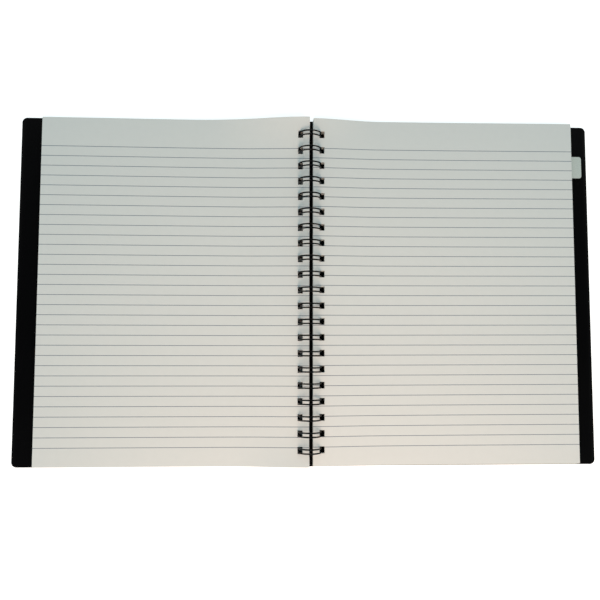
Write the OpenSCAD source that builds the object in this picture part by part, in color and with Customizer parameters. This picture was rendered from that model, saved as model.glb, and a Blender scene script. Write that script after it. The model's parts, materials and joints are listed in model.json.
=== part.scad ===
// Open twin-loop notebook, lying flat on its two covers with a block of sheets on each side.
// X runs across the spread, Y up the pages and Z up from the table. The origin lies on the
// table below the middle of the wire binding.

/* [Sheets] */
// Width of a sheet, from its punched edge to its fore-edge
sheet_w = 215.9; // [180:0.1:225]
// Height of a sheet
sheet_h = 279.4; // [230:0.1:300]
// Thickness of the block of sheets turned to the left
left_block_t = 4.8; // [4:0.1:6.5]
// Thickness of the right-hand sheets above the divider
upper_block_t = 2.6; // [1.5:0.1:3.5]
// Thickness of the right-hand sheets below the divider
lower_block_t = 2.6; // [1.5:0.1:3.5]
// How far the loose sheets on the left stand open at the fore-edge
left_edge_lift = 0.5; // [0:0.1:2.5]
// How far the loose sheets on the right stand open at the fore-edge
right_edge_lift = 1.2; // [0:0.1:2.5]
// Distance from the fore-edge over which they stand open
lift_l = 130; // [60:1:150]

/* [Divider] */
// Thickness of the divider card
divider_t = 0.4; // [0.2:0.05:0.8]
// Width of the divider's tab along the fore-edge
tab_w = 18.1; // [10:0.1:40]
// How far the tab stands out beyond the sheets
tab_reach = 10.8; // [3:0.1:14]
// Distance from the top of the sheets to the tab
tab_drop = 25.7; // [10:0.1:150]
// Corner radius of the tab
tab_r = 2; // [0.5:0.1:3]

/* [Covers] */
// Width of a cover, from its punched edge to its fore-edge
cover_w = 234; // [228:0.1:245]
// How far a cover stands out past the sheets at the top and at the bottom
cover_over = 0.8; // [0:0.1:15.3]
// Thickness of a cover
cover_t = 1; // [0.6:0.05:1.6]
// Radius of the covers' outer corners
cover_r = 4; // [1:0.1:12]

/* [Punching] */
// Width of a punched hole, across the sheet
hole_w = 4; // [3.8:0.1:4.4]
// Height of a punched hole, along the spine
hole_h = 5.4; // [4.8:0.1:6.5]
// Paper left between a sheet's holes and its punched edge
hole_margin = 5.2; // [4:0.1:5.4]
// Distance from one hole to the next
hole_pitch = 12.7; // [10:0.1:16]
// Least distance from the end of a sheet to the middle of the first hole
end_margin = 12; // [8:0.1:20]

/* [Wire] */
// Thickness of the wire
wire_d = 1.2; // [0.9:0.05:1.4]
// Room left inside the loops beside the closed notebook
loop_spare = 3; // [2.6:0.1:7]
// Distance between the two strands of a loop
strand_gap = 3.2; // [2.6:0.1:3.3]
// Radius of the bends between a strand and the bars, to the middle of the wire
bend_r = 1.2; // [0.9:0.1:2]
// Gap between a loop's closed tip and the bars that it meets
tip_gap = 0.6; // [0.3:0.1:1.5]
// How much wider the wire is pressed at its tight bends
bend_swell = 0.04; // [0.03:0.01:0.08]
// Length of the cut wire past the first and the last loop
stub_l = 3.5; // [1.5:0.1:4]

/* [Lay] */
// Height of the loops above the table
table_gap = 0.5; // [0.3:0.1:1]
// Distance from the middle over which the covers climb to the loops
climb_l = 60; // [40:1:80]
// Clearance of the top sheets from the plane in which the two halves close
close_gap = 0.3; // [0.2:0.05:0.6]
// Clearance between one block and the next, and between a block and its cover
leaf_gap = 0.1; // [0.05:0.01:0.2]
// Least distance of a punched edge from the middle of the spread
mid_gap = 0.2; // [0.1:0.05:0.5]
// Clearance between the wire and the side of a sheet's hole that lies against it
wire_play = 0.3; // [0.2:0.05:0.6]

/* [Hidden] */
LEFT = -1;
RIGHT = 1;

// Blocks on each side, and the loops that hold them: the covers lie at the same depth on both
// sides, so the thicker block stands a little higher and the thinner one a little lower
right_block_t = lower_block_t + leaf_gap + divider_t + leaf_gap + upper_block_t;
half_t = close_gap + (left_block_t + right_block_t) / 2 + leaf_gap + cover_t;
loop_r = half_t + loop_spare / 2 + wire_d / 2;
loop_z = table_gap + wire_d / 2 + loop_r;
// Height of the covers' underside at the spine
rise = loop_z - half_t;

// Covers keep their margin round the sheets
cover_h = sheet_h + 2 * cover_over;

// Holes, counted from the space on a sheet
loop_count = floor((sheet_h - 2 * end_margin) / hole_pitch) + 1;
loop_ys = [for (i = [0 : loop_count - 1]) (i - (loop_count - 1) / 2) * hole_pitch];
edge_to_hole = hole_margin + hole_w / 2;

// Angles along a loop from its lowest point, of its root and of its closed tip
root_a = bend_r / loop_r * 180 / PI;
tip_a = (wire_d + tip_gap + strand_gap / 2) / loop_r * 180 / PI;
// Short length by which one stretch of wire runs into the next
wire_lap = 0.05;
lap_a = wire_lap / loop_r * 180 / PI;

// Stations across a half, close together on the climb and wider apart where the sheets lift
climb_steps = 20;
lift_steps = 8;
over = 1;
lift_from = edge_to_hole + sheet_w - lift_l;
lift_stations = [for (i = [0 : lift_steps - 1]) lift_from + lift_l * i / lift_steps];
grid = concat([for (i = [1 : climb_steps]) climb_l * i / climb_steps],
    [for (s = lift_stations) if (s > climb_l + over) s]);
wire_fn = 24;
loop_fn = 72;
corner_fn = 48;

function block_t(side) = side == LEFT ? left_block_t : right_block_t;
function edge_lift(side) = side == LEFT ? left_edge_lift : right_edge_lift;
// Smooth step from 0 to 1
function ease(u) = let (v = min(max(u, 0), 1)) v * v * (3 - 2 * v);
// Height of the layer that lies q above the cover's top, at distance s from the middle
function layer_z(side, s, q) = rise * (1 - ease(s / climb_l)) + cover_t + q
    + edge_lift(side) * max(q, 0) / block_t(side) * ease((s - lift_from) / lift_l);
// Distance from the middle to the wire's inside (face -1) or outside (face 1), at a depth below
// the middle of the loops
function ring_x(depth, face) = sqrt(pow(loop_r + face * wire_d / 2, 2) - depth * depth);
// Place of the holes at a depth. The left sheets are pushed to the middle, with the wire against
// their holes' outer side, and the right ones are pulled out, with it against the inner side.
function snug_hole(side, depth) = max(mid_gap + edge_to_hole,
    ring_x(depth, -side) + side * (hole_w / 2 - wire_play));
// Place of the holes in the layer that lies q above the cover's top
function hole_x(side, q) = let (bottom = half_t - cover_t - leaf_gap, low = snug_hole(side, bottom))
    low + (snug_hole(side, bottom - block_t(side)) - low) * (q - leaf_gap) / block_t(side);
// The covers' holes are centred on the wire
cover_hole_x = (ring_x(half_t, -1) + ring_x(half_t - cover_t, 1)) / 2;
function stations(a, b) = concat([a], [for (s = grid) if (s > a + over && s < b - over) s], [b]);
function flip(points) = [for (i = [len(points) - 1 : -1 : 0]) points[i]];

// Profile between two layers, each with its own punched edge and the same width
function profile(side, edge0, edge1, w, q0, q1) = concat(
    [for (s = stations(edge0, edge0 + w)) [side * s, layer_z(side, s, q0)]],
    flip([for (s = stations(edge1, edge1 + w)) [side * s, layer_z(side, s, q1)]]));

// Stands a profile drawn across the spread along Y, centred
module along_y(h) {
    rotate([90, 0, 0]) linear_extrude(h, center = true) children();
}

// Row of holes that leans with the sheets, from height z0 at x0 to height z1 at x1
module punching(side, x0, x1, z0, z1) {
    lean = (x1 - x0) / (z1 - z0);
    a = hole_w / 2;
    lo = x0 - lean * over;
    hi = x1 + lean * over;
    for (y = loop_ys)
        translate([0, y, 0]) along_y(hole_h)
            polygon([[side * (lo - a), z0 - over], [side * (lo + a), z0 - over],
                [side * (hi + a), z1 + over], [side * (hi - a), z1 + over]]);
}

// Block of sheets between layers q0 and q1, punched for the loops
module block(side, q0, q1, w) {
    x0 = hole_x(side, q0);
    x1 = hole_x(side, q1);
    difference() {
        along_y(sheet_h) polygon(profile(side, x0 - edge_to_hole, x1 - edge_to_hole, w, q0, q1));
        punching(side, x0, x1, layer_z(side, x1 + hole_w, q0), layer_z(side, 0, q1));
    }
}

// Rectangle from the Y axis to w, with its far corners rounded
module leaf_plan(w, h, r) {
    translate([0, -h / 2]) square([w - r, h]);
    translate([0, r - h / 2]) square([w, h - 2 * r]);
    for (s = [-1, 1]) translate([w - r, s * (h / 2 - r)]) circle(r = r, $fn = corner_fn);
}

// Cover, flat on the table and climbing to the loops near the spine
module cover(side) {
    difference() {
        intersection() {
            along_y(cover_h) polygon(profile(side, mid_gap, mid_gap, cover_w, -cover_t, 0));
            mirror([side == LEFT ? 1 : 0, 0, 0]) linear_extrude(loop_z)
                leaf_plan(mid_gap + cover_w, cover_h, cover_r);
        }
        punching(side, cover_hole_x, cover_hole_x, layer_z(side, cover_hole_x + hole_w, -cover_t),
            layer_z(side, 0, 0));
    }
}

module front_cover() {
    color("#151517") cover(LEFT);
}

module back_cover() {
    color("#151517") cover(RIGHT);
}

module left_pages() {
    color("#dcd9d0") block(LEFT, leaf_gap, leaf_gap + left_block_t, sheet_w);
}

module rear_pages() {
    color("#d6d3c9") block(RIGHT, leaf_gap, leaf_gap + lower_block_t, sheet_w);
}

// Card with one tab that stands out past the sheets' fore-edge
module tab_divider() {
    q = leaf_gap + lower_block_t + leaf_gap;
    edge = hole_x(RIGHT, q) - edge_to_hole;
    fore = edge + sheet_w;
    color("#b9c3bd") intersection() {
        block(RIGHT, q, q + divider_t, sheet_w + tab_reach);
        linear_extrude(loop_z) {
            translate([0, -sheet_h / 2]) square([fore, sheet_h]);
            translate([0, sheet_h / 2 - tab_drop - tab_w / 2]) leaf_plan(fore + tab_reach, tab_w, tab_r);
        }
    }
}

module right_pages() {
    top = leaf_gap + right_block_t;
    color("#dedbd2") block(RIGHT, top - upper_block_t, top, sheet_w);
}

// Round section of the wire, with its seam on the outside of the loop
module wire_section(d, seam = 0) {
    rotate(seam) circle(d = d, $fn = wire_fn);
}

// Both strands of every loop, from the roots round the top to the closed tips
module strands() {
    rotate([90, 0, 0]) rotate(root_a - lap_a - 90)
        rotate_extrude(angle = 360 - root_a - tip_a + 2 * lap_a, $fn = loop_fn)
            for (y = loop_ys, s = [-1, 1]) translate([loop_r, y + s * strand_gap / 2]) wire_section(wire_d);
}

// Puts its children on the lowest point of a loop, turned by a round the loop's axis
module on_loop(a) {
    rotate([0, a, 0]) translate([0, 0, -loop_r]) children();
}

// Half turn that closes the two strands of a loop
module closed_tip() {
    on_loop(tip_a) rotate(-90) rotate_extrude(angle = 180, $fn = corner_fn)
        translate([strand_gap / 2, 0]) wire_section(wire_d + bend_swell, -90);
}

// Quarter turn from a strand's root into the bar beside it
module root_bend(s) {
    on_loop(-root_a) translate([0, s * (strand_gap / 2 + bend_r), 0]) rotate(s > 0 ? 180 : 90)
        rotate_extrude(angle = 90, $fn = corner_fn)
            translate([bend_r, 0]) wire_section(wire_d + bend_swell, -90);
}

// Straight wire along the spine, from y0 to y1, lapped into what it meets at y0 and y1
module bar(y0, y1) {
    on_loop(-root_a) translate([-bend_r, y1, 0]) rotate([90, 0, 0]) rotate(-90)
        cylinder(d = wire_d, h = y1 - y0, $fn = wire_fn);
}

// One length of wire: strands, closed tips, and bars from each loop to the next
module twin_loop_wire() {
    bar_from = strand_gap / 2 + bend_r - wire_lap;
    last_y = loop_ys[loop_count - 1];
    color("#101012") translate([0, 0, loop_z]) {
        strands();
        for (y = loop_ys) translate([0, y, 0]) {
            closed_tip();
            for (s = [-1, 1]) root_bend(s);
        }
        for (i = [0 : loop_count - 2]) bar(loop_ys[i] + bar_from, loop_ys[i + 1] - bar_from);
        for (s = [-1, 1]) scale([1, s, 1]) bar(last_y + bar_from, last_y + bar_from + stub_l);
    }
}

front_cover();
left_pages();
right_pages();
tab_divider();
rear_pages();
back_cover();
twin_loop_wire();
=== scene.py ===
"""Looks of an open twin-loop notebook that lies flat on its two covers.

Every length is in metres, written as a number of millimetres times MM. X runs across the
spread, Y up the pages and Z up from the table. The two halves follow one rule, the lay, which
gives the height of each layer of the notebook at each distance from the spine.
"""

from __future__ import annotations

import json
import logging
import math
import random
from collections.abc import Callable, Sequence
from dataclasses import dataclass
from enum import Enum
from typing import Any

import bpy
from bpy.types import Curve, Material, Mesh, Node, NodeSocket, NodeTree, Object
from mathutils import Matrix, Vector


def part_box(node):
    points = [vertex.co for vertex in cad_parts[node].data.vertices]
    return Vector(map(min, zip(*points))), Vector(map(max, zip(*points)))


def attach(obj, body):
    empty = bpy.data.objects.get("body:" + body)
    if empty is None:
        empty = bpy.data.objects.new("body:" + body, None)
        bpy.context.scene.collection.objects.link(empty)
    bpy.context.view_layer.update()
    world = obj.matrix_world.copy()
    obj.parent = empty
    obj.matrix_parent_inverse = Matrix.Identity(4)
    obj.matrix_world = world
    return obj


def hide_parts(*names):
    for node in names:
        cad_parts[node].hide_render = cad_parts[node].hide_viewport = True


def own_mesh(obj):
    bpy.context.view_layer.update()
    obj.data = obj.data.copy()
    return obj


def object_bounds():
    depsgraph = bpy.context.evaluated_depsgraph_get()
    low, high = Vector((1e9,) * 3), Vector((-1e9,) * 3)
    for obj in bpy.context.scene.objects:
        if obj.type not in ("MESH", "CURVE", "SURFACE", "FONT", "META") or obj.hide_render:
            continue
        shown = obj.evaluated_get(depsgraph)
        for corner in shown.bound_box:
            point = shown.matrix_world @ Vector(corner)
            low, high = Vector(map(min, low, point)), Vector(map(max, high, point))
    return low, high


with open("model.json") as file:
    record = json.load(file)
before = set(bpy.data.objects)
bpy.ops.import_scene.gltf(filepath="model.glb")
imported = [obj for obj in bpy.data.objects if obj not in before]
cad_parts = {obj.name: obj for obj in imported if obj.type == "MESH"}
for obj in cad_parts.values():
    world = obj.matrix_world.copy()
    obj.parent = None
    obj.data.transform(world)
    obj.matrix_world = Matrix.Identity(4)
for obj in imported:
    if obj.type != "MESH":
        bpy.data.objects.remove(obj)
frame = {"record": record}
CAD_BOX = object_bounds()

MM = 0.001
TINY = 0.01 * MM
RANGES = ("LINEAR", "SMOOTHSTEP")
BEVEL_SEGMENTS = 2
UPRIGHT = 0.5
LOG = logging.getLogger("notebook")

Sockets = dict[str, NodeSocket]
Sizes = dict[str, float | int]
Points = list[tuple[float, float]]
Plan = tuple[Points, list[list[int]]]


class Side(Enum):
    """Half of the spread, with the sign of its X."""

    LEFT = -1
    RIGHT = 1


def smooth_step(value: float) -> float:
    """Eases a share from 0 to 1 and holds it there outside that range."""
    share = min(max(value, 0.0), 1.0)
    return share * share * (3.0 - 2.0 * share)


def steps_within(length: float, step: float) -> list[float]:
    """Lists the even steps along a length that lie inside it."""
    return [step * i for i in range(1, int(length / step))]


def linear(hex_colour: str) -> tuple[float, float, float, float]:
    """Turns an sRGB hex colour to the linear colour that a shader takes.

    Args:
        hex_colour: Colour as "#rrggbb".

    Returns:
        Linear red, green, blue and an alpha of 1.
    """
    parts = [int(hex_colour[i : i + 2], 16) / 255 for i in (1, 3, 5)]
    line = [c / 12.92 if c <= 0.04045 else ((c + 0.055) / 1.055) ** 2.4 for c in parts]
    return line[0], line[1], line[2], 1.0


def feed(tree: NodeTree, node: Node, inputs: dict[int | str, Any]) -> None:
    """Sets inputs of a node, or links them where an output socket is given.

    Args:
        tree: Tree that holds the node.
        node: Node that gets the inputs.
        inputs: Value or output socket for each input, by name or number.
    """
    for key, value in inputs.items():
        if isinstance(value, NodeSocket):
            tree.links.new(value, node.inputs[key])
        else:
            node.inputs[key].default_value = value


def add_node(
    tree: NodeTree,
    kind: str,
    inputs: dict[int | str, Any] | None = None,
    **settings: Any,
) -> Node:
    """Adds a node with its settings, its plain values and its links.

    Args:
        tree: Tree that gets the node.
        kind: Node type.
        inputs: Value or output socket for each input, by name or number.
        settings: Properties of the node.

    Returns:
        The new node.
    """
    node = tree.nodes.new(kind)
    for name, value in settings.items():
        setattr(node, name, value)
    feed(tree, node, inputs or {})
    return node


def work_out(tree: NodeTree, known: Sockets, steps: Sequence[tuple[Any, ...]]) -> None:
    """Adds a chain of nodes, each of which reads numbers and results that are already known.

    Args:
        tree: Tree that gets the nodes.
        known: Results by name, to which the chain adds its own.
        steps: For each node the name of its result, how it works and what it reads. It is a
            range where that is one of the ways in RANGES, and otherwise a sum.
    """
    for result, way, *read in steps:
        inputs = {i: known[r] if isinstance(r, str) else r for i, r in enumerate(read)}
        if way in RANGES:
            node = add_node(tree, "ShaderNodeMapRange", inputs, interpolation_type=way)
        else:
            node = add_node(tree, "ShaderNodeMath", inputs, operation=way)
        known[result] = node.outputs[0]


def start_material(
    name: str, noises: dict[str, tuple[float, float]]
) -> tuple[Material, Sockets]:
    """Starts a material with its noises.

    Args:
        name: Name of the material.
        noises: Size of the grains and levels of detail of each noise, by name.

    Returns:
        The material, and its texture coordinates and noises by name.
    """
    mat = bpy.data.materials.new(name)
    mat.use_nodes = True
    tree = mat.node_tree
    known = {socket.name: socket for socket in add_node(tree, "ShaderNodeTexCoord").outputs}
    for noise, (size, detail) in noises.items():
        inputs = {"Vector": known["Object"], "Scale": 1 / size, "Detail": detail}
        known[noise] = add_node(tree, "ShaderNodeTexNoise", inputs).outputs["Fac"]
    return mat, known


def end_material(
    mat: Material,
    heights: NodeSocket,
    relief: tuple[float, float],
    looks: dict[int | str, Any],
) -> Material:
    """Gives a material's surface its fine relief and its other looks.

    Args:
        mat: The material.
        heights: Pattern of the relief.
        relief: How strongly the relief shows, and how deep it is.
        looks: Value or output socket for each input of the surface, by name.

    Returns:
        The same material.
    """
    tree = mat.node_tree
    inputs = {"Height": heights, "Strength": relief[0], "Distance": relief[1]}
    bump = add_node(tree, "ShaderNodeBump", inputs)
    looks = {**looks, "Normal": bump.outputs["Normal"]}
    feed(tree, tree.nodes["Principled BSDF"], looks)
    return mat


@dataclass(frozen=True)
class Lay:
    """Sizes that all pieces share, and the rule by which the two halves lie round the loops."""

    axis_z: float
    sheet_h: float
    cover_h: float
    sheet_w: float = 215.9 * MM
    cover_w: float = 234.0 * MM
    cover_t: float = 1.0 * MM
    left_block_t: float = 4.8 * MM
    lower_block_t: float = 2.6 * MM
    upper_block_t: float = 2.6 * MM
    divider_t: float = 0.4 * MM
    left_edge_lift: float = 0.5 * MM
    right_edge_lift: float = 1.2 * MM
    lift_l: float = 130.0 * MM
    hole_w: float = 4.0 * MM
    hole_h: float = 5.4 * MM
    hole_margin: float = 5.2 * MM
    hole_pitch: float = 12.7 * MM
    loop_count: int = 21
    wire_d: float = 1.2 * MM
    climb_l: float = 60.0 * MM
    close_gap: float = 0.3 * MM
    leaf_gap: float = 0.1 * MM
    mid_gap: float = 0.2 * MM
    wire_play: float = 0.3 * MM
    loop_spare: float = 3.0 * MM
    plumb_strip: float = 5.0 * MM
    plumb_fade: float = 20.0 * MM

    @property
    def right_block_t(self) -> float:
        """Thickness of everything above the back cover."""
        return self.lower_block_t + self.divider_t + self.upper_block_t + 2 * self.leaf_gap

    @property
    def half_t(self) -> float:
        """Depth of a cover's underside below the loops' axis."""
        blocks = (self.left_block_t + self.right_block_t) / 2
        return self.close_gap + blocks + self.leaf_gap + self.cover_t

    @property
    def loop_r(self) -> float:
        """Radius of a loop, to the middle of the wire."""
        return self.half_t + self.loop_spare / 2 + self.wire_d / 2

    @property
    def rise(self) -> float:
        """Height to which the covers climb at the spine."""
        return self.axis_z - self.half_t

    @property
    def loop_ys(self) -> list[float]:
        """Places of the loops along the spine, from the bottom to the top."""
        middle = (self.loop_count - 1) / 2
        return [(i - middle) * self.hole_pitch for i in range(self.loop_count)]

    @property
    def edge_to_hole(self) -> float:
        """Distance from a sheet's punched edge to the middle of its holes."""
        return self.hole_margin + self.hole_w / 2

    @property
    def lift_from(self) -> float:
        """Distance from the spine at which the loose sheets start to stand open."""
        return self.edge_to_hole + self.sheet_w - self.lift_l

    @property
    def cover_hole_x(self) -> float:
        """Distance of the covers' holes from the middle of the spread, centred on the wire."""
        inside = self.ring_x(self.half_t, -1)
        return (inside + self.ring_x(self.half_t - self.cover_t, 1)) / 2

    def block_t(self, side: Side) -> float:
        """Gives the thickness of the sheets of a half."""
        return self.left_block_t if side is Side.LEFT else self.right_block_t

    def top_q(self, side: Side) -> float:
        """Gives the place of the top of a half's sheets above its cover's top."""
        return self.leaf_gap + self.block_t(side)

    def lift_share(self, side: Side) -> float:
        """Gives how far a half stands open at its fore-edge for each metre of its thickness."""
        lift = self.left_edge_lift if side is Side.LEFT else self.right_edge_lift
        return lift / self.block_t(side)

    def layer_z(self, side: Side, s: float, q: float) -> float:
        """Gives the height of a layer.

        Args:
            side: Half of the spread.
            s: Distance from the spine.
            q: Place of the layer above the cover's top.

        Returns:
            Height above the table.
        """
        climb = self.rise * (1 - smooth_step(s / self.climb_l))
        lift = self.lift_share(side) * max(q, 0) * smooth_step((s - self.lift_from) / self.lift_l)
        return climb + self.cover_t + q + lift

    def ring_x(self, depth: float, face: int) -> float:
        """Gives the wire's distance from the middle at a depth below the axis.

        Args:
            depth: Depth below the loops' axis.
            face: -1 for the inside of the wire, 1 for its outside.

        Returns:
            Distance from the middle of the spread.
        """
        return math.sqrt((self.loop_r + face * self.wire_d / 2) ** 2 - depth**2)

    def edge_x(self, side: Side, q: float) -> float:
        """Gives the distance of a sheet's punched edge from the middle of the spread.

        The left sheets are pushed to the middle, and the right ones are pulled out, with the
        wire against one side of their holes.

        Args:
            side: Half of the spread.
            q: Place of the sheet above the cover's top.

        Returns:
            Distance from the middle of the spread.
        """
        sign = side.value
        bottom = self.half_t - self.cover_t - self.leaf_gap
        room = sign * (self.hole_w / 2 - self.wire_play)
        low, high = (
            max(self.mid_gap + self.edge_to_hole, self.ring_x(depth, -sign) + room)
            for depth in (bottom, bottom - self.block_t(side))
        )
        share = (q - self.leaf_gap) / self.block_t(side)
        return low + (high - low) * share - self.edge_to_hole

    def plumb(self, s: float) -> float:
        """Says how far a point of a leaf lines up with the topmost leaf instead of leaning.

        The punched edge and the outer side of the holes stand plumb, so that one sees straight
        down beside the wire. The inner side of the holes follows the wire.

        Args:
            s: Distance from the leaf's punched edge.

        Returns:
            1 where the leaf is plumb, 0 where it leans.
        """
        inner = self.edge_to_hole - self.hole_w / 2
        outer = self.edge_to_hole + self.hole_w / 2
        if s < outer:
            return abs(s - inner) / (inner if s < inner else outer - inner)
        return 1 - smooth_step((s - outer - self.plumb_strip) / self.plumb_fade)


@dataclass(frozen=True)
class PunchedPlan:
    """Plan of a punched piece, in distance from its punched edge and in height up the page."""

    lay: Lay
    width: float
    height: float
    hole_s: float
    edge: float
    corner_r: float = 0.0
    fine_rows: tuple[float, ...] = ()
    fine_columns: tuple[float, ...] = ()

    CORNER_STEPS = 8
    CLIMB_STEPS = 15
    LIFT_STEPS = 10
    STRIP_END = 1.5 * MM
    NEAR = 0.4 * MM
    DIGITS = 7

    @property
    def strip_end(self) -> float:
        """Distance from the punched edge within which every hole has rows of its own."""
        return self.hole_s + self.lay.hole_w / 2 + self.STRIP_END

    def columns(self) -> list[float]:
        """Works out the stations across the piece, close together where it bends.

        Returns:
            Distances from the punched edge.
        """
        lay, half = self.lay, self.lay.hole_w / 2
        fixed = [0.0, self.hole_s - half, self.hole_s + half, self.strip_end, self.width]
        climb = [lay.climb_l * (i + 1) / self.CLIMB_STEPS for i in range(self.CLIMB_STEPS)]
        lift = [lay.lift_from + lay.lift_l * i / self.LIFT_STEPS for i in range(self.LIFT_STEPS)]
        arc: list[float] = []
        if self.corner_r:
            turns = [math.pi / 2 * i / self.CORNER_STEPS for i in range(self.CORNER_STEPS)]
            arc = [self.width - self.corner_r * (1 - math.sin(a)) for a in turns]
        free = [*(away - self.edge for away in climb + lift), *self.fine_columns]
        chosen = fixed + arc
        for s in free:
            inside = 0 < s < self.width - self.corner_r
            if inside and all(abs(s - other) > self.NEAR for other in chosen):
                chosen.append(s)
        return sorted(chosen)

    def rows(self) -> list[float]:
        """Works out the stations up the page, which cut round every hole.

        Returns:
            Heights up the page.
        """
        half = self.lay.hole_h / 2
        ends = [-self.height / 2, self.height / 2]
        cuts = [y + s * half for y in self.lay.loop_ys for s in (-1, 1)]
        near = ends + cuts
        free = [y for y in self.fine_rows if all(abs(y - other) > self.NEAR for other in near)]
        return sorted(near + free)

    def half_height(self, s: float) -> float:
        """Gives half the height of the piece at a station, less its rounded corner.

        Args:
            s: Distance from the punched edge.

        Returns:
            Half the height there.
        """
        into = s - (self.width - self.corner_r)
        if into <= 0 or not self.corner_r:
            return self.height / 2
        return self.height / 2 - self.corner_r + math.sqrt(max(self.corner_r**2 - into**2, 0.0))

    def in_hole(self, s: float, y: float) -> bool:
        """Says whether a point lies inside a punched hole."""
        beside = abs(s - self.hole_s) <= self.lay.hole_w / 2
        return beside and any(abs(y - at) < self.lay.hole_h / 2 for at in self.lay.loop_ys)

    def faces(self) -> Plan:
        """Works out the plan's points and its faces, anticlockwise from above.

        Returns:
            The points and, for each face, the numbers of its points.
        """
        points: dict[tuple[float, float], tuple[int, tuple[float, float]]] = {}
        found: list[list[int]] = []
        columns, inner_rows = self.columns(), self.rows()[1:-1]

        def at(s: float, y: float) -> int:
            """Gives the number of the point at a place."""
            key = (round(s, self.DIGITS), round(y, self.DIGITS))
            return points.setdefault(key, (len(points), (s, y)))[0]

        def rows_at(s: float) -> list[float]:
            """Gives the rows that a station has."""
            inner = inner_rows if self.fine_rows or s <= self.strip_end + TINY else []
            return [-self.half_height(s), *inner, self.half_height(s)]

        for a, b in zip(columns, columns[1:]):
            rows_a, rows_b = rows_at(a), rows_at(b)
            if len(rows_a) != len(rows_b):
                found.append([at(b, y) for y in rows_b] + [at(a, y) for y in reversed(rows_a)])
                continue
            for low_a, high_a, low_b, high_b in zip(rows_a, rows_a[1:], rows_b, rows_b[1:]):
                if not self.in_hole((a + b) / 2, (low_a + high_a) / 2):
                    found.append([at(a, low_a), at(b, low_b), at(b, high_b), at(a, high_a)])
        return [point for _, point in points.values()], found


def thin_solid(
    name: str,
    plan: Plan,
    thickness: float,
    place: Callable[[float, float, float], Vector],
    mirrored: bool,
) -> Mesh:
    """Makes a closed thin mesh from a plan, with the plan's own measures as its UV map.

    Args:
        name: Name of the mesh.
        plan: Points and faces of the plan.
        thickness: Thickness of the piece.
        place: Gives the place of a point from its two plan measures and its height in the piece.
        mirrored: Whether the place turns the plan over from left to right.

    Returns:
        The mesh, with its faces outwards.
    """
    points, faces = plan
    count = len(points)
    vertices = [place(s, y, z) for z in (0.0, thickness) for s, y in points]
    edges = {(f[i], f[(i + 1) % len(f)]) for f in faces for i in range(len(f))}
    walls = [(i, j, j + count, i + count) for i, j in sorted(edges) if (j, i) not in edges]
    solid = [[i + count for i in f] for f in faces]
    solid += [list(reversed(f)) for f in faces]
    solid += [list(w) for w in walls]
    if mirrored:
        solid = [list(reversed(f)) for f in solid]
    mesh = bpy.data.meshes.new(name)
    mesh.from_pydata(vertices, [], solid)
    flat = mesh.uv_layers.new(name="flat_sheet")
    for loop in mesh.loops:
        s, y = points[loop.vertex_index % count]
        flat.data[loop.index].uv = (s, y)
    mesh.validate()
    mesh.update()
    return mesh


def mark_shaded_hole_walls(mesh: Mesh, lay: Lay) -> None:
    """Marks the walls of a sheet's holes, which get a painted shade for the dark inside them.

    Args:
        mesh: The sheet, with the plan's measures as its UV map.
        lay: Sizes of the holes.
    """
    flat = mesh.uv_layers["flat_sheet"].data
    reach = lay.hole_w / 2 + TINY
    marks = []
    for face in mesh.polygons:
        s = sum(flat[i].uv[0] for i in face.loop_indices) / face.loop_total
        y = sum(flat[i].uv[1] for i in face.loop_indices) / face.loop_total
        upright = abs(face.normal.z) < UPRIGHT and abs(y) < lay.sheet_h / 2 - MM
        # Upright faces within a hole's width take the painted shade of the holes' dark inside
        marks.append(float(upright and abs(s - lay.edge_to_hole) < reach))
    mesh.attributes.new(RuledPaper.HOLE_SHADE_ATTRIBUTE, "FLOAT", "FACE").data.foreach_set("value", marks)


def new_object(name: str, data: Mesh | Curve) -> Object:
    """Makes an object of a mesh or a curve and links it to the scene.

    Args:
        name: Name of the object.
        data: What it shows.

    Returns:
        The object.
    """
    obj = bpy.data.objects.new(name, data)
    bpy.context.scene.collection.objects.link(obj)
    return obj


def joined(name: str, meshes: Sequence[Mesh]) -> Object:
    """Joins several meshes in one object.

    Args:
        name: Name of the object.
        meshes: Meshes, each in its place.

    Returns:
        The object, which holds them all.
    """
    objects = [new_object(f"{name}_{i}", mesh) for i, mesh in enumerate(meshes)]
    objects[0].name = name
    with bpy.context.temp_override(
        active_object=objects[0],
        object=objects[0],
        selected_objects=objects,
        selected_editable_objects=objects,
    ):
        bpy.ops.object.join()
    return objects[0]


def finished_mesh(obj: Object) -> Mesh:
    """Gives the shape of an object with its modifiers, as a plain mesh.

    Args:
        obj: Object with live modifiers.

    Returns:
        The plain mesh.
    """
    bpy.context.view_layer.update()
    evaluated = obj.evaluated_get(bpy.context.evaluated_depsgraph_get())
    return bpy.data.meshes.new_from_object(evaluated)


def baked(obj: Object) -> None:
    """Turns an object's modifiers into its plain mesh and takes them off.

    Args:
        obj: Object with live modifiers.
    """
    mesh = finished_mesh(obj)
    obj.modifiers.clear()
    obj.data = mesh


def break_edges(obj: Object, width: float, angle: float) -> None:
    """Rounds the sharp edges of an object off a little.

    Args:
        obj: The object.
        width: Width of the rounding.
        angle: Angle between two faces, in degrees, past which their edge is rounded.
    """
    bevel = obj.modifiers.new("broken_edge", "BEVEL")
    bevel.width = width
    bevel.segments = BEVEL_SEGMENTS
    bevel.limit_method = "ANGLE"
    bevel.angle_limit = math.radians(angle)
    baked(obj)


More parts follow.
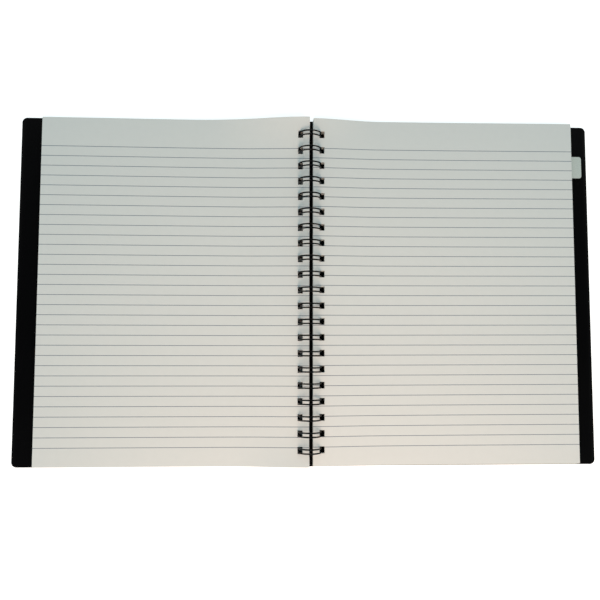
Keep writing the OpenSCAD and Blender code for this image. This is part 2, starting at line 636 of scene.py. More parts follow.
def sized_tree(name: str, given: str, made: str, sizes: Sizes) -> tuple[NodeTree, Sockets]:
    """Starts a Geometry Nodes tree that has one named input for each size.

    Args:
        name: Name of the tree.
        given: Name of the geometry that goes in.
        made: Name of the geometry that comes out.
        sizes: Sizes by name.

    Returns:
        The tree and its inputs by name.
    """
    group = bpy.data.node_groups.new(name, "GeometryNodeTree")
    sockets = [(given, "INPUT", "NodeSocketGeometry"), (made, "OUTPUT", "NodeSocketGeometry")]
    for size, value in sizes.items():
        whole = isinstance(value, int)
        sockets.append((size, "INPUT", "NodeSocketInt" if whole else "NodeSocketFloat"))
    for label, way, kind in sockets:
        group.interface.new_socket(label, in_out=way, socket_type=kind)
    inputs = add_node(group, "NodeGroupInput").outputs
    return group, {socket.name: socket for socket in inputs if socket.name}


def end_tree(group: NodeTree, shape: NodeSocket, material: Material) -> None:
    """Ends a tree: real copies, with a material on them.

    Args:
        group: The tree.
        shape: Geometry that it has made.
        material: Material of that geometry.
    """
    real = add_node(group, "GeometryNodeRealizeInstances", {0: shape})
    dressed = add_node(group, "GeometryNodeSetMaterial", {0: real.outputs[0], "Material": material})
    add_node(group, "NodeGroupOutput", {0: dressed.outputs[0]})


def run_tree(obj: Object, group: NodeTree, sizes: Sizes) -> None:
    """Puts a tree on an object, with its sizes set by the identifiers of their inputs.

    Args:
        obj: The object.
        group: The tree.
        sizes: Sizes by name.
    """
    modifier = obj.modifiers.new(group.name, "NODES")
    modifier.node_group = group
    for item in group.interface.items_tree:
        if item.in_out == "INPUT" and item.name in sizes:
            modifier[item.identifier] = sizes[item.name]


class PaperColour(Enum):
    """Shade of the sheets."""

    TOP = "#dadcd9"
    BLOCK = "#d4d5d0"


@dataclass(frozen=True)
class RuledPaper:
    """Uncoated writing paper, calendered and ruled by offset printing.

    It scatters nearly all light, with faint clouds where the fibres bunch up and a fine tooth
    that takes the gloss away. The rules are thin grey-blue lines across the full width. The walls
    of the holes get a painted shade, near black, for the deep shade inside the holes.
    """

    # Face attribute that marks the hole walls for their painted shade
    HOLE_SHADE_ATTRIBUTE = "painted_hole_shade"

    name: str
    colour: PaperColour
    ruled: bool
    cloud_size: float = 5.0 * MM
    tooth_size: float = 0.5 * MM
    first_rule: float = 116.0 * MM
    rule_pitch: float = 8.03 * MM
    rule_count: int = 31
    rule_w: float = 0.5 * MM
    rule_soft: float = 0.08 * MM
    ink: str = "#697382"
    ink_take: float = 0.75
    cloud_shade: float = 0.965
    # Painted shade on the walls of the holes: near black, for the deep shade inside them
    hole_shade_colour: str = "#151618"
    roughness: float = 0.88
    specular: float = 0.25
    relief: tuple[float, float] = (0.12, 0.05 * MM)

    def material(self) -> Material:
        """Makes the material.

        Returns:
            The material.
        """
        # Clouds of fibre are a few millimetres wide. The tooth of the sheet is drawn at half a
        # millimetre, coarser than real, so that it shows, and ink takes unevenly on the fibres
        noises = {"clouds": (self.cloud_size, 3.0), "tooth": (self.tooth_size, 4.0)}
        if self.ruled:
            noises["take"] = (2 * self.tooth_size, 2.0)
        mat, known = start_material(self.name, noises)
        tree = mat.node_tree
        bare = linear(self.colour.value)
        shaded = (*(c * self.cloud_shade for c in bare[:3]), 1.0)
        mixed = {"Factor": known["clouds"], 6: shaded, 7: bare}
        paper = add_node(tree, "ShaderNodeMix", mixed, data_type="RGBA").outputs[2]
        if self.ruled:
            mixed = {"Factor": self.rules(tree, known), 6: paper, 7: linear(self.ink)}
            paper = add_node(tree, "ShaderNodeMix", mixed, data_type="RGBA").outputs[2]
        # The hole walls take a painted shade, near black, in place of the shade deep in the holes
        hole_shade_mask = add_node(tree, "ShaderNodeAttribute", attribute_name=self.HOLE_SHADE_ATTRIBUTE)
        mixed = {"Factor": hole_shade_mask.outputs["Fac"], 6: paper, 7: linear(self.hole_shade_colour)}
        paper = add_node(tree, "ShaderNodeMix", mixed, data_type="RGBA").outputs[2]
        looks = {
            "Base Color": paper,
            "Roughness": self.roughness,
            "Specular IOR Level": self.specular,
        }
        return end_material(mat, known["tooth"], self.relief, looks)

    def rules(self, tree: NodeTree, known: Sockets) -> NodeSocket:
        """Works out where the ink of the rules lies.

        Args:
            tree: The material's tree.
            known: Its texture coordinates and noises.

        Returns:
            How well the ink covers the paper.
        """
        known["y"] = add_node(tree, "ShaderNodeSeparateXYZ", {0: known["UV"]}).outputs["Y"]
        half = self.rule_w / 2 / self.rule_pitch
        soft = self.rule_soft / 2 / self.rule_pitch
        steps = (
            ("down", "SUBTRACT", self.first_rule, "y"),
            ("turns", "DIVIDE", "down", self.rule_pitch),
            ("nearest", "ROUND", "turns"),
            ("from first", "MAXIMUM", "nearest", 0.0),
            ("rule", "MINIMUM", "from first", self.rule_count - 1.0),
            ("off", "SUBTRACT", "turns", "rule"),
            ("away", "ABSOLUTE", "off"),
            ("line", "SMOOTHSTEP", "away", half - soft, half + soft, 1.0, 0.0),
            ("patchy", "LINEAR", "take", 0.0, 1.0, self.ink_take, 1.0),
            ("ink", "MULTIPLY", "line", "patchy"),
        )
        work_out(tree, known, steps)
        return known["ink"]


@dataclass(frozen=True)
class CoverPolypropylene:
    """Black polypropylene sheet, pressed between embossed rollers.

    It gives a deep black with a soft, broken sheen from a fine leather-like grain.
    """

    colour: str = "#050506"
    grain_size: float = 0.9 * MM
    scuff_size: float = 30.0 * MM
    roughness: tuple[float, float] = (0.36, 0.5)
    ior: float = 1.49
    specular: float = 0.12
    relief: tuple[float, float] = (0.25, 0.04 * MM)

    def material(self) -> Material:
        """Makes the material.

        Returns:
            The material.
        """
        # The grain is drawn at nearly a millimetre, coarser than real, so that it shows.
        # Handling leaves wide, faint patches that shine a little more
        noises = {"fine": (self.grain_size / 2, 3.0), "scuffs": (self.scuff_size, 5.0)}
        mat, known = start_material("embossed_black_polypropylene", noises)
        tree = mat.node_tree
        size = {"Vector": known["Object"], "Scale": 1 / self.grain_size}
        grain = add_node(tree, "ShaderNodeTexVoronoi", size, feature="SMOOTH_F1")
        known["grain"] = grain.outputs["Distance"]
        steps = (
            ("height", "ADD", "grain", "fine"),
            ("rough", "LINEAR", "scuffs", 0.0, 1.0, *self.roughness),
        )
        work_out(tree, known, steps)
        looks = {
            "Base Color": linear(self.colour),
            "Roughness": known["rough"],
            "IOR": self.ior,
            "Specular IOR Level": self.specular,
        }
        return end_material(mat, known["height"], self.relief, looks)


@dataclass(frozen=True)
class NylonCoatedWire:
    """Soft steel wire with a fused black nylon coat.

    The coat gives a smooth black gloss, with a faint unevenness where it has flowed.
    """

    colour: str = "#050506"
    flow_size: float = 2.0 * MM
    roughness: tuple[float, float] = (0.24, 0.36)
    ior: float = 1.53
    specular: float = 0.16
    relief: tuple[float, float] = (0.1, 0.04 * MM)

    def material(self) -> Material:
        """Makes the material.

        Returns:
            The material.
        """
        mat, known = start_material("black_nylon_coated_wire", {"flow": (self.flow_size, 2.0)})
        steps = [("rough", "LINEAR", "flow", 0.0, 1.0, *self.roughness)]
        work_out(mat.node_tree, known, steps)
        looks = {
            "Base Color": linear(self.colour),
            "Roughness": known["rough"],
            "IOR": self.ior,
            "Specular IOR Level": self.specular,
        }
        return end_material(mat, known["flow"], self.relief, looks)


@dataclass(frozen=True)
class DividerCard:
    """Smooth grey-green manila card, calendered and uncoated.

    It is matt, with small flecks of darker fibre in the pulp.
    """

    colour: str = "#c2cbc5"
    fleck: str = "#b4bcb6"
    fleck_size: float = 0.8 * MM
    fleck_range: tuple[float, float] = (0.45, 0.75)
    roughness: float = 0.7
    relief: tuple[float, float] = (0.1, 0.04 * MM)

    def material(self) -> Material:
        """Makes the material.

        Returns:
            The material.
        """
        mat, known = start_material("grey_green_manila_card", {"flecks": (self.fleck_size, 4.0)})
        tree = mat.node_tree
        work_out(tree, known, [("amount", "LINEAR", "flecks", *self.fleck_range)])
        mixed = {"Factor": known["amount"], 6: linear(self.colour), 7: linear(self.fleck)}
        card = add_node(tree, "ShaderNodeMix", mixed, data_type="RGBA")
        looks = {"Base Color": card.outputs[2], "Roughness": self.roughness}
        return end_material(mat, known["flecks"], self.relief, looks)


@dataclass
class HalfPiece:
    """A piece of one half: the rule it lies by, its name, and what it stands for and rides on."""

    lay: Lay
    side: Side
    name: str
    node: str
    body: str

    @property
    def mirrored(self) -> bool:
        """Whether the piece lies on the left, so that its plan is turned over."""
        return self.side is Side.LEFT


@dataclass
class CoverBoard(HalfPiece):
    """One stiff plastic cover, flat on the table and climbing to the loops."""

    corner_r: float = 4.0 * MM
    edge_break: float = 0.18 * MM
    break_angle: float = 50.0
    smooth_angle: float = 30.0

    def build(self, finish: CoverPolypropylene) -> Object:
        """Makes the board and ties it to its body.

        Args:
            finish: The plastic.

        Returns:
            The finished piece.
        """
        lay, side = self.lay, self.side
        hole_s = lay.cover_hole_x - lay.mid_gap
        plan = PunchedPlan(lay, lay.cover_w, lay.cover_h, hole_s, lay.mid_gap, self.corner_r)

        def place(s: float, y: float, z: float) -> Vector:
            """Lays a point of the plan on the table."""
            away = lay.mid_gap + s
            return Vector((side.value * away, y, lay.layer_z(side, away, z - lay.cover_t)))

        mesh = thin_solid(self.name, plan.faces(), lay.cover_t, place, self.mirrored)
        board = new_object(self.name, mesh)
        break_edges(board, self.edge_break, self.break_angle)
        board.data.shade_smooth()
        board.data.set_sharp_from_angle(angle=math.radians(self.smooth_angle))
        board.data.materials.clear()
        board.data.materials.append(finish.material())
        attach(board, self.body)
        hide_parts(self.node)
        return board


@dataclass
class LeafStack(HalfPiece):
    """A stack of loose leaves between two layers, made leaf by leaf with Geometry Nodes."""

    first_q: float
    thickness: float
    pitch: float = 0.1 * MM
    leaf_t: float = 0.07 * MM
    wander: float = 0.05 * MM
    shift_y: float = 0.0
    turn: float = 0.0
    seed: int = 1

    def one_leaf(self) -> Mesh:
        """Makes one flat punched leaf, with its punched edge at the spine.

        Returns:
            The mesh of the leaf.
        """
        lay, sign = self.lay, self.side.value
        edge = lay.edge_x(self.side, self.first_q)
        plan = PunchedPlan(lay, lay.sheet_w, lay.sheet_h, lay.edge_to_hole, edge)
        mesh = thin_solid(
            f"{self.name}_leaf",
            plan.faces(),
            self.leaf_t,
            lambda s, y, z: Vector((sign * s, y, z)),
            self.mirrored,
        )
        plumb = mesh.attributes.new("plumb", "FLOAT", "POINT")
        plumb.data.foreach_set("value", [lay.plumb(abs(v.co.x)) for v in mesh.vertices])
        mark_shaded_hole_walls(mesh, lay)
        return mesh

    def sizes(self) -> Sizes:
        """Lists what the tree takes, by the names of its inputs.

        Returns:
            The sizes of the stack.
        """
        lay, side = self.lay, self.side
        return {
            "Leaves": max(2, round(self.thickness / self.pitch)),
            "First layer": self.first_q,
            "Stack": self.thickness - self.leaf_t,
            "First edge": lay.edge_x(side, self.first_q),
            "Last edge": lay.edge_x(side, self.first_q + self.thickness),
            "Top edge": lay.edge_x(side, lay.top_q(side)),
            "Side": float(side.value),
            "Rise": lay.rise,
            "Climb": lay.climb_l,
            "Cover thickness": lay.cover_t,
            "Lift share": lay.lift_share(side),
            "Lift from": lay.lift_from,
            "Lift length": lay.lift_l,
            "Wander": self.wander,
            "Up the page": self.shift_y,
            "Turn": self.turn,
            "Seed": self.seed,
        }

    def tree(self, material: Material) -> NodeTree:
        """Builds the tree that stacks one leaf and lays each copy by the rule of the halves.

        Args:
            material: Material of the leaves.

        Returns:
            The tree, whose inputs are the sizes of the stack.
        """
        group, known = sized_tree(f"{self.name}_stack", "Leaf", "Stack of leaves", self.sizes())
        one_each = {"Count": known["Leaves"], "Offset": (0, 0, 0)}
        line = add_node(group, "GeometryNodeMeshLine", one_each)
        leaves = {"Points": line.outputs[0], "Instance": known["Leaf"]}
        copies = add_node(group, "GeometryNodeInstanceOnPoints", leaves)
        index = add_node(group, "GeometryNodeInputIndex")
        numbered = add_node(
            group,
            "GeometryNodeStoreNamedAttribute",
            {"Geometry": copies.outputs[0], "Name": "leaf", "Value": index.outputs[0]},
            data_type="INT",
            domain="INSTANCE",
        )
        shape = add_node(group, "GeometryNodeRealizeInstances", {0: numbered.outputs[0]})
        place = add_node(group, "GeometryNodeInputPosition")
        flat = add_node(group, "ShaderNodeSeparateXYZ", {0: place.outputs[0]})
        known |= {socket.name: socket for socket in flat.outputs}
        attributes = {"leaf": "INT", "plumb": "FLOAT"}
        for name, kind in attributes.items():
            read = "GeometryNodeInputNamedAttribute"
            known[name] = add_node(group, read, {"Name": name}, data_type=kind).outputs[0]
        work_out(group, known, [("next seed", "ADD", "Seed", 1.0)])
        for name, seed in (("loose across", "Seed"), ("loose up", "next seed")):
            drawn = {2: -1.0, 3: 1.0, "ID": known["leaf"], "Seed": known[seed]}
            loose = add_node(group, "FunctionNodeRandomValue", drawn, data_type="FLOAT")
            known[name] = loose.outputs[1]
        steps = (
            ("gaps", "SUBTRACT", "Leaves", 1.0),
            ("share", "DIVIDE", "leaf", "gaps"),
            # Across: the leaf leans with the loops, and its punched edge is plumb
            ("lean", "SUBTRACT", "Last edge", "First edge"),
            ("leaning edge", "MULTIPLY_ADD", "lean", "share", "First edge"),
            ("back", "SUBTRACT", "Top edge", "leaning edge"),
            ("edge", "MULTIPLY_ADD", "back", "plumb", "leaning edge"),
            ("from edge", "ABSOLUTE", "X"),
            ("in place", "ADD", "from edge", "edge"),
            ("slip across", "MULTIPLY", "loose across", "Wander"),
            ("across", "ADD", "in place", "slip across"),
            ("sideways", "MULTIPLY", "across", "Side"),
            # Up the page
            ("slip up", "MULTIPLY", "loose up", "Wander"),
            ("shift", "ADD", "slip up", "Up the page"),
            ("shifted", "ADD", "Y", "shift"),
            ("slope", "MULTIPLY", "across", "Turn"),
            ("up", "ADD", "shifted", "slope"),
            # Height: climb to the loops, the layer itself and the lift at the fore-edge
            ("leaf layer", "MULTIPLY_ADD", "Stack", "share", "First layer"),
            ("layer", "ADD", "leaf layer", "Z"),
            ("climb share", "DIVIDE", "across", "Climb"),
            ("climbed down", "SMOOTHSTEP", "climb share"),
            ("climb left", "SUBTRACT", 1.0, "climbed down"),
            ("climb", "MULTIPLY", "Rise", "climb left"),
            ("past lift", "SUBTRACT", "across", "Lift from"),
            ("lift place", "DIVIDE", "past lift", "Lift length"),
            ("opened", "SMOOTHSTEP", "lift place"),
            ("most lift", "MULTIPLY", "layer", "Lift share"),
            ("lift", "MULTIPLY", "most lift", "opened"),
            ("lifted", "ADD", "climb", "lift"),
            ("on cover", "ADD", "layer", "Cover thickness"),
            ("height", "ADD", "lifted", "on cover"),
        )
        work_out(group, known, steps)
        ends = {0: known["sideways"], 1: known["up"], 2: known["height"]}
        target = add_node(group, "ShaderNodeCombineXYZ", ends)
        moved = {0: shape.outputs[0], "Position": target.outputs[0]}
        shape = add_node(group, "GeometryNodeSetPosition", moved)
        for name in attributes:
            less = {0: shape.outputs[0], "Name": name}
            shape = add_node(group, "GeometryNodeRemoveAttribute", less)
        end_tree(group, shape.outputs[0], material)
        return group

    def build(self, paper: RuledPaper) -> Object:
        """Makes the stack and ties it to its body.

        Args:
            paper: Finish of the leaves.

        Returns:
            The finished piece.
        """
        stack = new_object(self.name, self.one_leaf())
        run_tree(stack, self.tree(paper.material()), self.sizes())
        baked(stack)
        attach(stack, self.body)
        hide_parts(self.node)
        return stack


@dataclass
class Curl:
    """How the inner corners of a loose sheet curl up beside the loops."""

    top_lift: float
    bottom_lift: float
    top_reach: float
    bottom_reach: float
    fade: float

    def lift(self, s: float, y: float, half_h: float) -> float:
        """Gives how far the sheet lifts at a place.

        Args:
            s: Distance from the spine.
            y: Height up the page.
            half_h: Half the height of the sheet.

        Returns:
            Lift above the flat sheet.
        """
        top = self.top_lift * (1 - smooth_step(s / self.top_reach))
        bottom = self.bottom_lift * (1 - smooth_step(s / self.bottom_reach))
        near_top = max(0.0, 1 - (half_h - y) / self.fade) ** 2
        near_bottom = max(0.0, 1 - (half_h + y) / self.fade) ** 2
        return top * near_top + bottom * near_bottom


@dataclass
class LooseSheets(HalfPiece):
    """The topmost sheets of a half, ruled, whose corners curl up and fan out at the spine."""

    joint: str
    curl: Curl
    count: int
    shift_y: float = 0.0
    turn: float = 0.0
    seed: int = 5
    leaf_t: float = 0.08 * MM
    pitch: float = 0.1 * MM
    fan: float = 2.2
    wander: float = 0.1 * MM
    keep: float = 0.03
    smooth_angle: float = 50.0

    ROW_STEP = 4.0 * MM
    COLUMN_STEP = 5.0 * MM

    def sheet(self, number: int, rng: random.Random) -> Mesh:
        """Makes one sheet.

        Args:
            number: 0 for the topmost sheet, and one more for each below it.
            rng: Source of the small differences between sheets.

        Returns:
            The mesh of the sheet, in its place.
        """
        lay, side = self.lay, self.side
        q = lay.top_q(side) - self.leaf_t - number * self.pitch
        edge = lay.edge_x(side, q)
        half_h = lay.sheet_h / 2
        rows = tuple(y - half_h for y in steps_within(lay.sheet_h, self.ROW_STEP))
        columns = tuple(steps_within(lay.sheet_w, self.COLUMN_STEP))
        plan = PunchedPlan(
            lay, lay.sheet_w, lay.sheet_h, lay.edge_to_hole, edge, 0.0, rows, columns
        )
        share = (1 - number / self.count) ** self.fan
        slip_x = rng.uniform(-1, 1) * self.wander if number else 0.0
        slip_y = rng.uniform(-1, 0) * self.wander if number else 0.0

        def place(s: float, y: float, z: float) -> Vector:
            """Lays a point of the sheet on its half.

            Args:
                s: Distance from the sheet's punched edge.
                y: Height up the sheet.
                z: Height in the sheet's thickness.

            Returns:
                The place.
            """
            away = edge + s + slip_x
            up = y + self.shift_y + slip_y + away * self.turn
            lift = share * self.curl.lift(away, y, half_h)
            return Vector((side.value * away, up, lay.layer_z(side, away, q + z) + lift))

        name = f"{self.name}_{number}"
        mesh = thin_solid(name, plan.faces(), self.leaf_t, place, self.mirrored)
        mesh.shade_smooth()
        mesh.set_sharp_from_angle(angle=math.radians(self.smooth_angle))
        mark_shaded_hole_walls(mesh, lay)
        return mesh

    def build(self, paper: RuledPaper) -> Object:
        """Makes the sheets and ties them to their body.

        Args:
            paper: Finish of the sheets.

        Returns:
            The finished piece.
        """
        rng = random.Random(self.seed)
        sheets = joined(self.name, [self.sheet(i, rng) for i in range(self.count)])
        sheets.data.materials.clear()
        sheets.data.materials.append(paper.material())
        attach(sheets, self.body)
        top = self.lay.layer_z(self.side, 0.0, self.lay.top_q(self.side))
        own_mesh(sheets)
        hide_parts(self.node)
        return sheets


@dataclass
class Divider:
    """Card between the two right-hand blocks, with one tab at its fore-edge."""

    lay: Lay
    name: str = "divider_card"
    node: str = "tab_divider"
    body: str = "back_half"
    tab_w: float = 18.1 * MM
    tab_reach: float = 10.8 * MM
    tab_drop: float = 25.7 * MM
    tab_r: float = 2.0 * MM
    edge_break: float = 0.06 * MM
    break_angle: float = 60.0

    CORNER_STEPS = 8

    def tab_plan(self) -> Points:
        """Works out the outline of the tab past the fore-edge.

        Returns:
            Points of the outline, anticlockwise from its lower root.
        """
        lay = self.lay
        top = lay.sheet_h / 2 - self.tab_drop
        bottom = top - self.tab_w
        s = lay.sheet_w + self.tab_reach - self.tab_r
        outline = [(lay.sheet_w, bottom)]
        for y, start in ((bottom + self.tab_r, -90), (top - self.tab_r, 0)):
            for i in range(self.CORNER_STEPS + 1):
                a = math.radians(start + 90 * i / self.CORNER_STEPS)
                outline.append((s + self.tab_r * math.cos(a), y + self.tab_r * math.sin(a)))
        outline.append((lay.sheet_w, top))
        return outline

    def build(self, finish: DividerCard) -> Object:
        """Makes the card and ties it to its body.

        Args:
            finish: The card.

        Returns:
            The finished piece.
        """
        lay, side = self.lay, Side.RIGHT
        q = lay.leaf_gap + lay.lower_block_t + lay.leaf_gap
        edge, top_edge = lay.edge_x(side, q), lay.edge_x(side, lay.top_q(side))
        plan = PunchedPlan(lay, lay.sheet_w, lay.sheet_h, lay.edge_to_hole, edge)
        points, faces = plan.faces()
        roots = len(points)
        points = points + self.tab_plan()
        numbers = list(range(roots, len(points)))
        # The last face of the plan runs to the fore-edge and takes in the two roots of the tab
        last = faces[-1]
        far = [i for i in last if abs(points[i][0] - lay.sheet_w) < TINY]
        low = min(far, key=lambda i: points[i][1])
        at = last.index(low) + 1
        faces = faces[:-1] + [last[:at] + [numbers[0], numbers[-1]] + last[at:], numbers]

        def place(s: float, y: float, z: float) -> Vector:
            """Lays a point of the card between the blocks."""
            away = s + edge + (top_edge - edge) * lay.plumb(s)
            return Vector((away, y, lay.layer_z(side, away, q + z)))

        mesh = thin_solid(self.name, (points, faces), lay.divider_t, place, False)
        card = new_object(self.name, mesh)
        break_edges(card, self.edge_break, self.break_angle)
        card.data.materials.clear()
        card.data.materials.append(finish.material())
        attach(card, self.body)
        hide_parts(self.node)
        return card


@dataclass
class TwinLoopWire:
    """One length of wire bent into twin loops, joined by bars along the spine."""

    lay: Lay
    name: str = "binding_wire"
    node: str = "twin_loop_wire"
    body: str = "wire"
    strand_gap: float = 3.2 * MM
    bend_r: float = 1.2 * MM
    tip_gap: float = 0.6 * MM
    stub_l: float = 3.5 * MM
    loop_lean: float = 0.1 * MM
    seed: int = 3
    sides: int = 14

    STRAND_STEPS = 44
    TIP_STEPS = 12
    BEND_STEPS = 6

    def on_loop(self, angle: float, along: float, y: float) -> Vector:
        """Gives a place beside the loops' circle.

        Args:
            angle: Angle from the lowest point towards the right, in radians.
            along: Distance along the tangent at that angle.
            y: Place along the spine.

        Returns:
            The point.
        """
        r = self.lay.loop_r
        x = r * math.sin(angle) + along * math.cos(angle)
        z = self.lay.axis_z - r * math.cos(angle) + along * math.sin(angle)
        return Vector((x, y, z))

    def route(self) -> list[Vector]:
        """Works out the middle line of the wire.

        Returns:
            Points from the lower stub to the upper one.
        """
        lay, rng = self.lay, random.Random(self.seed)
        half_gap = self.strand_gap / 2
        root = self.bend_r / lay.loop_r
        tip = 2 * math.pi - (lay.wire_d + self.tip_gap + half_gap) / lay.loop_r
        reach = half_gap + self.bend_r
        first, last = lay.loop_ys[0], lay.loop_ys[-1]
        points = [self.on_loop(root, -self.bend_r, first - reach - self.stub_l)]
        for y in lay.loop_ys:
            lean = rng.uniform(-1, 1) * self.loop_lean
            for i in range(self.BEND_STEPS):
                a = math.pi / 2 * i / self.BEND_STEPS
                along = -self.bend_r * math.cos(a)
                points.append(self.on_loop(root, along, y - reach + self.bend_r * math.sin(a)))
            for strand in (-1, 1):
                steps = range(self.STRAND_STEPS + 1)
                for i in steps if strand < 0 else reversed(steps):
                    a = root + (tip - root) * i / self.STRAND_STEPS
                    tilt = lean * (1 - math.cos(a)) / 2
                    points.append(self.on_loop(a, 0.0, y + strand * half_gap + tilt))
                if strand < 0:
                    for i in range(1, self.TIP_STEPS):
                        a = math.pi * i / self.TIP_STEPS
                        side = -half_gap * math.cos(a)
                        points.append(self.on_loop(tip, half_gap * math.sin(a), y + side))
            for i in range(1, self.BEND_STEPS + 1):
                a = math.pi / 2 * (1 - i / self.BEND_STEPS)
                along = -self.bend_r * math.cos(a)
                points.append(self.on_loop(root, along, y + reach - self.bend_r * math.sin(a)))
        points.append(self.on_loop(root, -self.bend_r, last + reach + self.stub_l))
        return points

    def sizes(self) -> Sizes:
        """Lists what the tree takes, by the names of its inputs."""
        return {"Thickness": self.lay.wire_d, "Sides": self.sides}

    def tree(self, material: Material) -> NodeTree:
        """Builds the tree that sweeps the wire's round section along its route.

        Args:
            material: Material of the wire.

        Returns:
            The tree, with the wire's thickness and number of sides as inputs.
        """
        group, known = sized_tree("swept_wire", "Route", "Wire", self.sizes())
        work_out(group, known, [("radius", "MULTIPLY", "Thickness", 0.5)])
        circle = {"Resolution": known["Sides"], "Radius": known["radius"]}
        section = add_node(group, "GeometryNodeCurvePrimitiveCircle", circle)
        along = {"Curve": known["Route"], "Profile Curve": section.outputs[0], "Fill Caps": True}
        swept = add_node(group, "GeometryNodeCurveToMesh", along)
        smooth = add_node(group, "GeometryNodeSetShadeSmooth", {0: swept.outputs[0]})
        end_tree(group, smooth.outputs[0], material)
        return group

    def build(self, finish: NylonCoatedWire) -> Object:
        """Makes the wire and ties it to its body.

        Args:
            finish: The nylon coat.

        Returns:
            The finished piece.
        """
        route = self.route()
        curve = bpy.data.curves.new("wire_route", "CURVE")
        curve.dimensions = "3D"
        spline = curve.splines.new("POLY")
        spline.points.add(len(route) - 1)
        for point, place in zip(spline.points, route):
            point.co = (*place, 1.0)
        path = new_object("wire_route", curve)
        run_tree(path, self.tree(finish.material()), self.sizes())
        mesh = finished_mesh(path)
        bpy.data.objects.remove(path)
        wire = new_object(self.name, mesh)
        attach(wire, self.body)
        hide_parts(self.node)
        return wire


@dataclass
class Camera:
    """Camera above the spread, a little below and to the left of its middle."""

    place: tuple[float, float, float] = (-34.1 * MM, -47.9 * MM, 548.1 * MM)
    tilt_x: float = math.radians(-4.24)
    tilt_y: float = math.radians(2.78)
    roll: float = math.radians(-0.319)
    lens: float = 40.42
    sensor: float = 36.0
    clip_start: float = 10.0 * MM

    def build(self) -> None:
        """Makes the camera and gives it to the scene."""
        data = bpy.data.cameras.new("camera")
        data.lens = self.lens
        data.sensor_width = self.sensor
        data.clip_start = self.clip_start
        camera = new_object("camera", data)
        to_camera = (
            Matrix.Rotation(self.roll, 4, "Z")
            @ Matrix.Rotation(self.tilt_y, 4, "Y")
            @ Matrix.Rotation(self.tilt_x, 4, "X")
        )
        camera.matrix_world = Matrix.Translation(self.place) @ to_camera.transposed()
        bpy.context.scene.camera = camera


@dataclass(frozen=True)
class Lamp:
    """One soft square lamp aimed at the middle of the spread."""

    name: str
    place: tuple[float, float, float]
    colour: str
    power: float
    size: float

    def build(self) -> None:
        """Makes the lamp."""
        data = bpy.data.lights.new(self.name, "AREA")
        data.shape = "SQUARE"
        data.size = self.size
        data.energy = self.power
        data.color = linear(self.colour)[:3]
        lamp = new_object(self.name, data)
        place = Vector(self.place)
        # The pale surroundings give plastic and wire their sheen, so no lamp shows in them
        lamp.visible_glossy = False
        aim = (-place).to_track_quat("-Z", "Y")
        lamp.matrix_world = Matrix.Translation(place) @ aim.to_matrix().to_4x4()


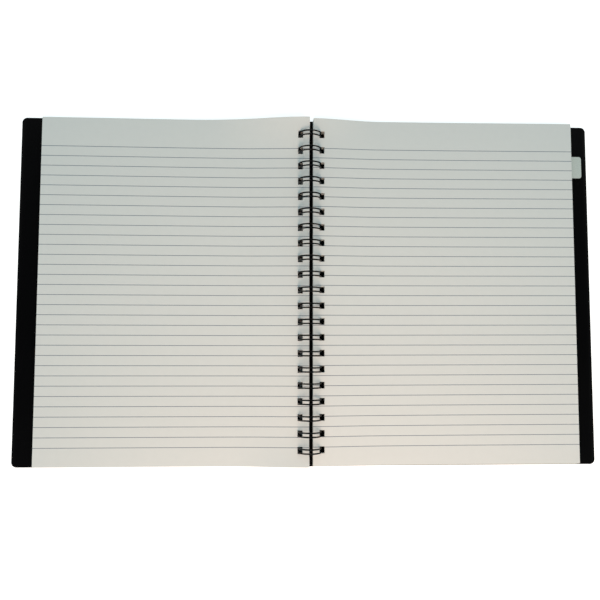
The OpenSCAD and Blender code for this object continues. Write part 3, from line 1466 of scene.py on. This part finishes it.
@dataclass
class Studio:
    """Pale floor, pale surroundings and soft lamps."""

    floor_size: float = 6.0
    floor_colour: str = "#f0f0ee"
    floor_white: float = 0.67
    spine_w: float = 20.0 * MM
    spine_fade: float = 12.0 * MM
    end_fade: float = 7.0 * MM
    ambient: str = "#d8f7ff"
    ambient_level: float = 0.58
    ceiling: str = "#303134"
    ceiling_from: float = 0.25
    ceiling_full: float = 0.7
    floor_drop: float = 0.05 * MM

    CORNERS = ((-1, -1), (1, -1), (1, 1), (-1, 1))
    LAMPS = (
        Lamp("key", (0.04, -0.33, 0.55), "#ffe2ce", 2.25, 0.36),
        Lamp("warm_low", (0.03, -0.38, 0.35), "#ffb488", 0.5, 0.3),
    )

    def seen(self, tree: NodeTree) -> NodeSocket:
        """Adds the test for rays that see the background, straight, mirrored or through glass.

        Args:
            tree: Tree that gets the test.

        Returns:
            1 for such a ray and 0 for any other.
        """
        path = add_node(tree, "ShaderNodeLightPath").outputs
        known = {kind: path[f"Is {kind} Ray"] for kind in ("Camera", "Glossy", "Transmission")}
        steps = (
            ("direct", "MAXIMUM", "Camera", "Glossy"),
            ("seen", "MAXIMUM", "direct", "Transmission"),
        )
        work_out(tree, known, steps)
        return known["seen"]

    def build_floor(self) -> None:
        """Makes the floor, which takes the shadow of the notebook and otherwise looks white."""
        half = self.floor_size / 2
        corners = [Vector((x * half, y * half, -self.floor_drop)) for x, y in self.CORNERS]
        mesh = bpy.data.meshes.new("floor")
        mesh.from_pydata(corners, [], [(0, 1, 2, 3)])
        floor = new_object("floor", mesh)
        mat, known = start_material("white_floor", {})
        tree = mat.node_tree
        tree.nodes.remove(tree.nodes["Principled BSDF"])
        matt = add_node(tree, "ShaderNodeBsdfDiffuse", {"Color": linear(self.floor_colour)})
        # Below the loops the floor only shows the light that reaches it, so the holes stay dark
        flat = add_node(tree, "ShaderNodeSeparateXYZ", {0: known["Object"]}).outputs
        known |= {"X": flat["X"], "Y": flat["Y"], "seen": self.seen(tree)}
        side, end = self.spine_w / 2, CAD_BOX[1][1] - self.end_fade
        steps = (
            ("aside", "ABSOLUTE", "X"),
            ("beside", "SMOOTHSTEP", "aside", side, side + self.spine_fade),
            ("along", "ABSOLUTE", "Y"),
            ("beyond", "SMOOTHSTEP", "along", end, end + self.end_fade),
            ("open", "MAXIMUM", "beside", "beyond"),
            ("white", "MULTIPLY", "seen", self.floor_white),
            ("level", "MULTIPLY", "white", "open"),
        )
        work_out(tree, known, steps)
        glow = add_node(tree, "ShaderNodeEmission", {"Strength": known["level"]})
        both = add_node(tree, "ShaderNodeAddShader", {0: matt.outputs[0], 1: glow.outputs[0]})
        feed(tree, tree.nodes["Material Output"], {"Surface": both.outputs[0]})
        mesh.materials.append(mat)

    def build_world(self) -> None:
        """Makes the surroundings: white at the horizon, a dim ceiling, and a plain soft light."""
        world = bpy.data.worlds.new("studio")
        world.use_nodes = True
        tree = world.node_tree
        tree.nodes.clear()
        way = add_node(tree, "ShaderNodeTexCoord").outputs["Object"]
        known = {"height": add_node(tree, "ShaderNodeSeparateXYZ", {0: way}).outputs["Z"]}
        span = (self.ceiling_from, self.ceiling_full)
        work_out(tree, known, [("up", "SMOOTHSTEP", "height", *span)])
        mixed = {"Factor": known["up"], 6: (1.0, 1.0, 1.0, 1.0), 7: linear(self.ceiling)}
        walls = add_node(tree, "ShaderNodeMix", mixed, data_type="RGBA")
        backdrop = add_node(tree, "ShaderNodeBackground", {"Color": walls.outputs[2]})
        soft = {"Color": linear(self.ambient), "Strength": self.ambient_level}
        ambient = add_node(tree, "ShaderNodeBackground", soft)
        both = {0: self.seen(tree), 1: ambient.outputs[0], 2: backdrop.outputs[0]}
        mix = add_node(tree, "ShaderNodeMixShader", both)
        add_node(tree, "ShaderNodeOutputWorld", {"Surface": mix.outputs[0]})
        bpy.context.scene.world = world

    def build(self) -> None:
        """Makes the floor, the surroundings and the lamps."""
        self.build_floor()
        self.build_world()
        for lamp in self.LAMPS:
            lamp.build()


def measured_lay() -> Lay:
    """Takes the shared sizes that the frame holds and leaves the rest as they are named.

    Returns:
        The sizes and the rule by which the halves lie.
    """
    sheet_low, sheet_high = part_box("left_pages")
    cover_low, cover_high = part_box("front_cover")
    return Lay(
        axis_z=frame["record"]["behaviour"]["joints"][0]["pos_m"][2],
        sheet_h=sheet_high[1] - sheet_low[1],
        cover_h=cover_high[1] - cover_low[1],
    )


def main() -> None:
    """Builds the notebook, piece by piece, and then the studio."""
    logging.basicConfig(level=logging.INFO, format="%(message)s")
    Camera().build()
    lay = measured_lay()
    plastic = CoverPolypropylene()
    block_paper = RuledPaper("uncoated_paper_edges", PaperColour.BLOCK, ruled=False)
    top_paper = RuledPaper("ruled_writing_paper", PaperColour.TOP, ruled=True)
    left_sheets, right_sheets = 5, 3
    left_top_t, right_top_t = (n * LooseSheets.pitch for n in (left_sheets, right_sheets))
    # The right-hand sheets lie a little high and turned on the wire, as far as their holes allow
    slip, turn, rear_share, upper_share = 0.36 * MM, math.radians(0.26), 0.5, 0.6
    left, right, front, back = Side.LEFT, Side.RIGHT, "front_half", "back_half"
    pieces = [
        CoverBoard(lay, left, "front_cover_board", "front_cover", front).build(plastic),
        CoverBoard(lay, right, "back_cover_board", "back_cover", back).build(plastic),
        LeafStack(
            lay, left, "left_leaves", "left_pages", front,
            first_q=lay.leaf_gap, thickness=lay.left_block_t - left_top_t, seed=11,
        ).build(block_paper),
        LeafStack(
            lay, right, "rear_leaves", "rear_pages", back,
            first_q=lay.leaf_gap, thickness=lay.lower_block_t, shift_y=slip * rear_share, seed=23,
        ).build(block_paper),
        LeafStack(
            lay, right, "upper_right_leaves", "right_pages", back,
            first_q=lay.leaf_gap + lay.right_block_t - lay.upper_block_t,
            thickness=lay.upper_block_t - right_top_t,
            shift_y=slip * upper_share, turn=turn * upper_share, seed=37,
        ).build(block_paper),
        LooseSheets(
            lay, left, "left_top_sheets", "left_pages", front, "front_cover_turn",
            Curl(9.6 * MM, 5.2 * MM, 95 * MM, 75 * MM, 32 * MM), left_sheets,
        ).build(top_paper),
        LooseSheets(
            lay, right, "right_top_sheets", "right_pages", back, "back_cover_turn",
            Curl(4.2 * MM, 0.4 * MM, 60 * MM, 60 * MM, 25 * MM), right_sheets,
            shift_y=slip, turn=turn,
        ).build(top_paper),
        Divider(lay).build(DividerCard()),
        TwinLoopWire(lay).build(NylonCoatedWire()),
    ]
    for piece in pieces:
        LOG.info("%s: %d faces", piece.name, len(piece.data.polygons))
    Studio().build()
    bpy.context.scene.view_settings.view_transform = "Standard"


if __name__ == "__main__":
    main()
